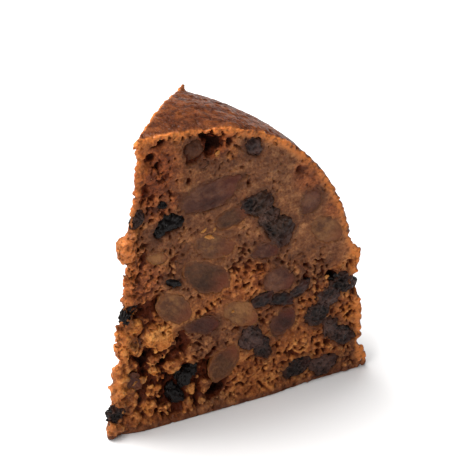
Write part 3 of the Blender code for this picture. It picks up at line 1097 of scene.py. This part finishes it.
def note_crumb(body, centres, fruit, chance):
    """Store what the pudding's material reads at each vertex."""
    places, normals = read(body, "co"), read(body, "normal")
    dome = dome_depth(places)[0]
    level = np.minimum(np.minimum(FRONT.depth(places), BACK.depth(places)), dome)
    thick = np.maximum(FRONT.depth(places), BACK.depth(places))
    astray = torn_outline(places)
    torn = nearer(places, *(hollowed(face, *face.run_rise(places), astray) for face in FACES))
    # Torn hollows get painted shade inside them
    inside = smooth_mm(torn, 0.7, 1.8) * smooth_mm(level, 0.4, 1.1)
    at_rim, at_point = fade_mm(dome, 0.4, 2.4), fade_mm(thick, 0.8, 3.2)
    foot = FOOT_CRUST * (1.0 + 0.4 * ripple(places, 6 * MM, 15))
    tree = kdtree.KDTree(len(centres))
    for index, centre in enumerate(centres):
        tree.insert(centre, index)
    tree.balance()
    tints = chance.random(len(centres))
    values_on(
        body,
        # How much painted shade the pores and deep hollows get
        pore=smooth(level, 0.35 * MM, DEEP),
        deep=np.maximum(smooth_mm(level, 1.0, 2.3), inside),
        bend=np.clip(0.5 + 1.6 * bend_of(body, BEND_SPREAD), 0.0, 1.0),
        smear=looks_at(places, "smeared"),
        **{look: looks_at(places, look) for look in ("warm", "ruddy", "golden")},
        # Painted glow along the skin's edge and, weaker, along the point's thin edge
        skin=on_skin(places, normals),
        rim=np.maximum(at_rim, 0.5 * at_point),
        crust=fade(places[:, 2], foot * 0.6, foot * 1.2),
        stain=stained_by(places, fruit, (*DARK_FRUIT, "muscats"), STAIN_REACH),
        amber=stained_by(places, fruit, ("sultanas",), AMBER_REACH),
        tint=[tints[tree.find(place)[1]] for place in places],
    )


def pudding_body(fruit):
    """The crumb and skin of the slice in one closed piece."""
    placing, edging, shaping = (np.random.RandomState(seed) for seed in SEEDS)
    core = pudding_core()
    centres, radii = [], []
    for face in FACES:
        run, rise, depth, radius = lumps_on(face, fruit, placing).T
        centres.append(face.places(run, rise, depth))
        radii.append(radius)
    for more_centres, more_radii in (edge_lumps(edging), rim_lumps(edging)):
        centres.append(more_centres)
        radii.append(more_radii)
    centres, radii = np.vstack(centres), np.concatenate(radii)
    body = grown_together(core, centres, radii, shaping)
    shave_level(body)
    open_crumb(body, fruit)
    roughen(body)
    thin_out(body)
    body.data.shade_smooth()
    note_crumb(body, centres, fruit, shaping)
    return body


# ---------------------------------------------------------------- materials


# Colours from 0 to 255 a channel, as seen. Crumb from its hollows to its ridges, darker in hollows
# as painted shade and lighter on ridges as painted highlight, the crust along the foot, the painted
# shade of deep hollows, and the rind, each as stops of (position, red, green, blue)
WARM_CRUMB = ((0.10, 72, 30, 12), (0.28, 114, 60, 27), (0.43, 146, 84, 41), (0.60, 192, 128, 70))
BROWN_CRUMB = ((0.10, 54, 27, 15), (0.28, 82, 46, 27), (0.43, 108, 66, 40), (0.60, 156, 104, 65))
RUDDY_CRUMB = ((0.10, 38, 10, 4), (0.32, 92, 37, 15), (0.58, 178, 92, 45))
GOLDEN_CRUMB = ((0.15, 116, 58, 22), (0.40, 168, 99, 43), (0.60, 212, 145, 78))
CLOSED_CRUMB = ((0.46, 82, 47, 28), (0.61, 121, 76, 48), (0.76, 169, 118, 77))
FOOT_SHADES = ((0.3, 72, 38, 25), (0.7, 118, 70, 45))
PAINTED_HOLLOW_SHADE = ((0.25, 64, 23, 8), (0.80, 34, 12, 5))
RIND_SHADES = ((0.18, 44, 18, 8), (0.34, 74, 35, 16), (0.50, 108, 58, 28))
# The last is the painted glow of light through thin rims
AMBER, STAIN, RIM_GLOW_COLOUR = (122, 74, 40), (60, 33, 22), (206, 122, 60)
# Painted shade of small pits and of pores
PIT_SHADE, PORE_SHADE = (72, 32, 14), (76, 30, 11)

# kind: colours of skin, flesh from dark to light in three, far end and rim, and then how strong the
# painted highlight on its wrinkle ridges is, its roughness, coat and how much light it lets through
FRUIT_SHADES = ("Skin", "Dark", "Middle", "Light", "Far", "Rim")
FRUIT_LOOKS = {
    "sultanas": (
        (126, 78, 42), (56, 34, 22), (86, 53, 34), (136, 92, 54), (112, 54, 32), (104, 60, 34),
        0.12, 0.42, 0.05, 0.30,
    ),
    "muscats": (
        (84, 50, 34), (44, 25, 20), (72, 42, 34), (108, 72, 54), (84, 34, 26), (88, 50, 32),
        0.15, 0.48, 0.03, 0.20,
    ),
    "raisins": (
        (17, 12, 11), (12, 8, 7), (32, 22, 19), (78, 56, 50), (50, 25, 21), (60, 32, 20),
        0.50, 0.34, 0.12, 0.04,
    ),
    "currants": (
        (18, 12, 12), (12, 8, 8), (32, 21, 19), (72, 52, 48), (58, 24, 18), (60, 32, 20),
        0.45, 0.34, 0.12, 0.04,
    ),
    "peel": (
        (172, 114, 60), (108, 62, 30), (146, 94, 50), (192, 140, 82), (140, 82, 40), (120, 70, 34),
        0.20, 0.40, 0.05, 0.30,
    ),
}
FLESH_FILM = (112, 76, 56)  # crumb that the knife has drawn over cut fruit

# What all the moist surfaces share
SPECULAR = 0.07
GRAIN_SCALE = 1500.0
BROAD_SCALE, MIDDLE_SCALE, FINE_SCALE = 140.0, 480.0, 1700.0
STREAK_SCALE, PIT_SCALE, CURL_SCALE = 700.0, 1250.0, 420.0
CRUMB_LIGHT, FRUIT_LIGHT = (1.0, 0.45, 0.20), (1.0, 0.45, 0.15)  # how far each colour goes in
CRUMB_VALUES = (
    "pore", "deep", "bend", "tint", "smear", "warm", "ruddy", "golden", "skin", "rim", "crust",
    "stain", "amber",
)


def shade(red, green, blue):
    """A colour from 0 to 255 a channel, as seen, made ready for a shader."""
    channels = (c / 255 for c in (red, green, blue))
    return tuple(c / 12.92 if c <= 0.04045 else ((c + 0.055) / 1.055) ** 2.4 for c in channels)


def wire(tree, value, socket):
    """Join a socket to another's output, or give it a plain value."""
    if isinstance(value, bpy.types.NodeSocket):
        tree.links.new(value, socket)
    elif isinstance(value, tuple) and len(value) == 3 and socket.type == "RGBA":
        socket.default_value = (*value, 1.0)
    else:
        socket.default_value = value


def fill(tree, node, **sockets):
    """Set or wire a node's inputs by name."""
    for name, value in sockets.items():
        wire(tree, value, node.inputs[name.replace("_", " ")])


def put(tree, kind, settings=None, **sockets):
    """Add a node, set its options, and set or wire its inputs by name."""
    node = tree.nodes.new(kind)
    for option, value in (settings or {}).items():
        setattr(node, option, value)
    fill(tree, node, **sockets)
    return node


def value_of(tree, name):
    """The number stored on each vertex under this name."""
    return put(tree, "ShaderNodeAttribute", {"attribute_name": name}).outputs["Fac"]


def ramp(tree, factor, *stops):
    """A colour ramp through stops of (position, grey) or (position, red, green, blue)."""
    node = put(tree, "ShaderNodeValToRGB", Fac=factor)
    points = node.color_ramp.elements
    while len(points) < len(stops):
        points.new(0.5)
    for point, (position, *tone) in zip(points, stops):
        point.position = position
        point.color = (*(shade(*tone) if len(tone) == 3 else tone * 3), 1.0)
    return node.outputs["Color"]


def blend(tree, factor, first, second, way="MIX"):
    """Mix two colours."""
    node = put(tree, "ShaderNodeMix", {"data_type": "RGBA", "blend_type": way})
    for index, value in ((0, factor), (6, first), (7, second)):
        wire(tree, value, node.inputs[index])
    return node.outputs[2]


def reckon(tree, first, second, way="MULTIPLY"):
    """Combine two numbers."""
    node = put(tree, "ShaderNodeMath", {"operation": way})
    wire(tree, first, node.inputs[0])
    wire(tree, second, node.inputs[1])
    return node.outputs[0]


def shares(tree, *parts):
    """Add up numbers, each times its share."""
    total = None
    for value, share in parts:
        scaled = reckon(tree, value, share)
        total = scaled if total is None else reckon(tree, total, scaled, "ADD")
    return total


def noise_at(tree, place, scale, detail=3.0, roughness=0.55, distortion=0.0):
    """Noise of the given scale, as a number."""
    return put(
        tree, "ShaderNodeTexNoise",
        Vector=place, Scale=scale, Detail=detail, Roughness=roughness, Distortion=distortion,
    ).outputs["Fac"]


def new_material(name):
    """An empty material with its Principled BSDF and object coordinates."""
    material = bpy.data.materials.new(name)
    material.use_nodes = True
    tree = material.node_tree
    tree.nodes.clear()
    shader = put(tree, "ShaderNodeBsdfPrincipled")
    put(tree, "ShaderNodeOutputMaterial", Surface=shader.outputs[0])
    place = put(tree, "ShaderNodeTexCoord").outputs["Object"]
    return material, tree, shader, place


def new_group(name, inputs, outputs):
    """A node group with such sockets, each (name, type), and its source and end."""
    group = bpy.data.node_groups.new(name, "ShaderNodeTree")
    for way, sockets in (("INPUT", inputs), ("OUTPUT", outputs)):
        for socket, kind in sockets:
            group.interface.new_socket(socket, in_out=way, socket_type="NodeSocket" + kind)
    return group, put(group, "NodeGroupInput").outputs, put(group, "NodeGroupOutput")


def grain_group():
    """Fine relief that all the moist surfaces share, as a normal and a mask."""
    inputs = (("Vector", "Vector"), ("Scale", "Float"), ("Strength", "Float"), ("Depth", "Float"))
    group, source, end = new_group(
        "moist_grain", inputs, (("Normal", "Vector"), ("Mask", "Float"))
    )
    at = {"Vector": source["Vector"], "Scale": source["Scale"]}
    coarse = put(group, "ShaderNodeTexNoise", Detail=4.0, **at)
    cells = put(group, "ShaderNodeTexVoronoi", **at)
    mask = reckon(group, coarse.outputs["Fac"], cells.outputs["Distance"])
    bump = put(
        group, "ShaderNodeBump",
        Strength=source["Strength"], Distance=source["Depth"], Height=mask,
    )
    fill(group, end, Normal=bump.outputs["Normal"], Mask=mask)
    return group


def moisten(tree, shader, place, group, strength, depth, **sockets):
    """Give a shader the shared grain and dull sheen, and its own further values."""
    relief = put(
        tree, "ShaderNodeGroup", {"node_tree": group},
        Vector=place, Scale=GRAIN_SCALE, Strength=strength, Depth=depth,
    ).outputs["Normal"]
    fill(
        tree, shader,
        Normal=relief, Coat_Normal=relief, Specular_IOR_Level=SPECULAR, **sockets,
    )


def crumb_colour(tree, at, place, broad, middle, fine):
    """Brown, orange, golden and dark red crumb, stained by the fruit in it, with painted shade in
    pores, hollows and small pits and painted highlight and glow on ridges and thin rims.
    """
    # Each crumb a little different; hollows darker as painted shade, ridges lighter as painted
    # highlight
    mottle_and_shade = shares(tree, (at["tint"], 0.20), (fine, 0.45), (middle, 0.50), (at["bend"], -0.40))
    warmth = shares(tree, (at["warm"], 0.86), (broad, 0.45), (at["tint"], 0.20))
    warmth = ramp(tree, warmth, (0.25, 0.0), (0.95, 1.0))
    crumb = blend(tree, warmth, ramp(tree, mottle_and_shade, *BROWN_CRUMB), ramp(tree, mottle_and_shade, *WARM_CRUMB))
    golden = shares(tree, (at["golden"], 0.8), (middle, 0.6))
    golden = ramp(tree, golden, (0.45, 0.0), (0.85, 1.0))
    crumb = blend(tree, golden, crumb, ramp(tree, mottle_and_shade, *GOLDEN_CRUMB))

    # Where the knife closed it, the painted glow along its thin rims and the painted shade of small
    # pits
    drawn = put(tree, "ShaderNodeMapping", Vector=place, Scale=(0.35, 0.35, 1.5)).outputs[0]
    streak = noise_at(tree, drawn, STREAK_SCALE, 4.0)
    closed = shares(tree, (middle, 0.45), (fine, 0.25), (streak, 0.30), (broad, 0.20))
    closed = ramp(tree, closed, *CLOSED_CRUMB)
    # The painted glow of light through the thin rims
    rim_glow_mask = reckon(tree, at["rim"], ramp(tree, middle, (0.30, 0.0), (0.52, 1.0)))
    pit_shade = ramp(tree, noise_at(tree, place, PIT_SCALE, 2.0, 0.4), (0.36, 1.0), (0.45, 0.0))
    for mask, share, colour in (
        (at["smear"], 0.66, closed),
        (at["ruddy"], 0.72, ramp(tree, mottle_and_shade, *RUDDY_CRUMB)),
        (at["amber"], 0.30, shade(*AMBER)),
        (at["stain"], reckon(tree, middle, 1.2), shade(*STAIN)),
        (rim_glow_mask, 0.85, shade(*RIM_GLOW_COLOUR)),
        (at["crust"], 0.8, ramp(tree, middle, *FOOT_SHADES)),
        (pit_shade, 0.50, shade(*PIT_SHADE)),
    ):
        crumb = blend(tree, reckon(tree, mask, share), crumb, colour)

    # Painted shade: pores and hollow spots darkened by their depth, and deep hollows darker still
    dark = shares(tree, (at["pore"], 1.0), (at["bend"], 0.7))
    dark = ramp(tree, dark, (0.42, 0.0), (1.15 / 1.7, 0.55), (1.0, 1.0))
    crumb = blend(tree, dark, crumb, shade(*PORE_SHADE))
    return blend(tree, at["deep"], crumb, ramp(tree, at["deep"], *PAINTED_HOLLOW_SHADE))


def pudding_material(group):
    """Brown, moist crumb with pores darkened as painted shade, and the redder, closer skin."""
    material, tree, shader, place = new_material("pudding")
    at = {name: value_of(tree, name) for name in CRUMB_VALUES}
    broad = noise_at(tree, place, BROAD_SCALE, 2.0)
    middle = noise_at(tree, place, MIDDLE_SCALE, 4.0)
    fine = noise_at(tree, place, FINE_SCALE, 4.0, 0.65)
    crumb = crumb_colour(tree, at, place, broad, middle, fine)
    curl = noise_at(tree, place, CURL_SCALE, 4.0, 0.55, 0.6)
    # The rind's tone, darker in its hollows as painted shade
    rind = shares(tree, (curl, 0.75), (fine, 0.30), (at["bend"], -0.30))
    colour = blend(tree, at["skin"], crumb, ramp(tree, rind, *RIND_SHADES))
    rough = ramp(tree, fine, (0.25, 0.48), (0.75, 0.78))
    rough = blend(tree, at["pore"], rough, (0.9, 0.9, 0.9))
    rough = blend(tree, at["skin"], rough, (0.42, 0.42, 0.42))
    moisten(
        tree, shader, place, group, strength=0.80, depth=0.0004,
        Base_Color=colour, Roughness=rough, Coat_Roughness=0.16,
        Coat_Weight=ramp(tree, at["deep"], (0.0, 0.10), (0.6, 0.02)),
        Subsurface_Weight=0.30, Subsurface_Radius=CRUMB_LIGHT, Subsurface_Scale=0.0010,
    )
    return material


def fruit_group():
    """The colours of dried fruit: wrinkled skin, and clearer, streaky flesh where it is cut."""
    inputs = [("Vector", "Vector"), *((name, "Color") for name in FRUIT_SHADES), ("Veins", "Float")]
    group, source, end = new_group("dried_fruit", inputs, (("Color", "Color"), ("Fine", "Float")))
    names = ("flesh", "edge", "vein", "lip", "tint", "film", "along", "across")
    flesh, edge, vein, lip, tint, film, along, across = (value_of(group, name) for name in names)
    cloud = noise_at(group, source["Vector"], 260.0, 3.0)
    fine = noise_at(group, source["Vector"], 1400.0, 4.0, 0.65)
    drawn = put(
        group, "ShaderNodeCombineXYZ",
        X=along, Y=reckon(group, across, 2.4), Z=reckon(group, tint, 40.0),
    ).outputs[0]
    streak = noise_at(group, drawn, 1.3, 4.0, 0.6)
    tone = shares(group, (cloud, 0.70), (fine, 0.25), (streak, 0.32), (tint, 0.34))
    low = ramp(group, tone, (0.57, 0.0), (0.82, 1.0))
    high = ramp(group, tone, (0.82, 0.0), (1.0, 1.0))
    inner = blend(group, low, source["Dark"], source["Middle"])
    inner = blend(group, high, inner, source["Light"])
    far = ramp(group, shares(group, (along, 0.8), (cloud, 0.7)), (0.45, 0.0), (1.0, 1.0))
    inner = blend(group, reckon(group, far, 0.7), inner, source["Far"])
    # Painted highlight on wrinkle ridges and along a line inside the cut outline, in the fruit's
    # light colour
    veins = reckon(group, reckon(group, vein, source["Veins"]), lip, "MAXIMUM")
    inner = blend(group, veins, inner, source["Light"])
    fray = reckon(group, edge, reckon(group, fine, 1.5))
    inner = blend(group, fray, inner, source["Rim"])
    paste = reckon(group, film, ramp(group, cloud, (0.40, 0.0), (0.70, 0.32)))
    inner = blend(group, paste, inner, shade(*FLESH_FILM))
    darker = blend(group, 1.0, source["Skin"], (0.45, 0.38, 0.34), "MULTIPLY")
    outer = blend(group, ramp(group, cloud, (0.38, 0.0), (0.60, 1.0)), darker, source["Skin"])
    fill(group, end, Color=blend(group, flesh, outer, inner), Fine=fine)
    return group


def fruit_material(kind, group, colours):
    """Moist dried fruit of one kind."""
    *shades, veins, roughness, coat, through = FRUIT_LOOKS[kind]
    material, tree, shader, place = new_material(kind)
    given = {name: shade(*colour) for name, colour in zip(FRUIT_SHADES, shades)}
    looks = put(
        tree, "ShaderNodeGroup", {"node_tree": colours}, Vector=place, Veins=veins, **given,
    ).outputs
    rough = ramp(tree, looks["Fine"], (0.35, roughness * 0.6), (0.65, roughness * 1.5))
    moisten(
        tree, shader, place, group, strength=0.60, depth=0.0003,
        Base_Color=looks["Color"], Roughness=rough, Coat_Weight=coat, Coat_Roughness=0.14,
        Subsurface_Weight=through, Subsurface_Radius=FRUIT_LIGHT, Subsurface_Scale=0.0022,
    )
    return material


# ---------------------------------------------------------------- studio


FLOOR_SIZE = 6.0
FLOOR_COLOURS = ((0.77, 0.77, 0.78), (0.79, 0.79, 0.80))
AIR = 0.28  # how bright the pale air all round is
LAMP_AIM = (0.0, 0.0, 0.03)
# name, place, size, power and colour
LAMPS = (
    ("key", (-0.25, 0.35, 0.95), 0.80, 23.0, (1.0, 0.99, 0.97)),
    ("fill", (-0.85, -0.55, 0.65), 0.50, 6.0, (1.0, 0.98, 0.95)),
)


def studio_floor():
    """A plain pale floor."""
    deselect_all()
    bpy.ops.mesh.primitive_plane_add(size=FLOOR_SIZE, location=(0, 0, 0))
    floor = bpy.context.object
    floor.name = "floor"
    material, tree, shader, place = new_material("floor")
    tint = noise_at(tree, place, 6.0, 2.0)
    colour = blend(tree, ramp(tree, tint, (0.3, 0.0), (0.7, 1.0)), *FLOOR_COLOURS)
    fill(tree, shader, Base_Color=colour, Roughness=0.6)
    floor.data.materials.append(material)


def soft_light(name, place, aim, size, power, colour):
    """A square soft box turned towards a point."""
    lamp = bpy.data.lights.new(name, "AREA")
    lamp.shape = "SQUARE"
    lamp.size = size
    lamp.energy = power
    lamp.color = colour
    box = bpy.data.objects.new(name, lamp)
    box.location = place
    box.rotation_euler = (Vector(aim) - Vector(place)).to_track_quat("-Z", "Y").to_euler()
    bpy.context.scene.collection.objects.link(box)


def studio_lights():
    """A large soft box above and behind, a weaker one in front, and pale air all round."""
    for name, place, size, power, colour in LAMPS:
        soft_light(name, place, LAMP_AIM, size, power, colour)
    world = bpy.data.worlds.new("studio")
    world.use_nodes = True
    back = world.node_tree.nodes["Background"]
    fill(world.node_tree, back, Color=(1.0, 1.0, 1.0), Strength=AIR)
    bpy.context.scene.world = world
    bpy.context.scene.view_settings.view_transform = "Standard"


def camera():
    """Look at the slice from above its front cut face."""
    low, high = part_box("pudding_slice")
    aim = (Vector(low) + Vector(high)) / 2 + AIM_OFFSET
    place = POINT + CAMERA_FROM_POINT
    data = bpy.data.cameras.new("camera")
    data.lens = LENS
    data.sensor_width = SENSOR
    data.clip_start, data.clip_end = CAMERA_REACH
    eye = bpy.data.objects.new("camera", data)
    turn = (aim - place).to_track_quat("-Z", "Y").to_matrix().to_4x4()
    eye.matrix_world = Matrix.Translation(place) @ turn @ Matrix.Rotation(CAMERA_ROLL, 4, "Z")
    bpy.context.scene.collection.objects.link(eye)
    bpy.context.scene.camera = eye


# ---------------------------------------------------------------- the whole scene


FRUIT_SLOTS = {
    "sultanas": "sultana", "muscats": "raisin", "raisins": "raisin", "currants": "raisin",
    "peel": "peel",
}


def build():
    """Make the slice, its fruit and the studio round it."""
    group, colours = grain_group(), fruit_group()
    fruit = all_fruit()
    body = pudding_body(fruit)
    body.data.materials.clear()
    body.data.materials.append(pudding_material(group))
    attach(body, "root")
    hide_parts("pudding_slice")
    for kind, slot in FRUIT_SLOTS.items():
        piece = fruit_piece(kind, fruit)
        piece.data.materials.append(fruit_material(kind, group, colours))
        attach(piece, "root")
    studio_floor()
    studio_lights()
    camera()


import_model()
build()
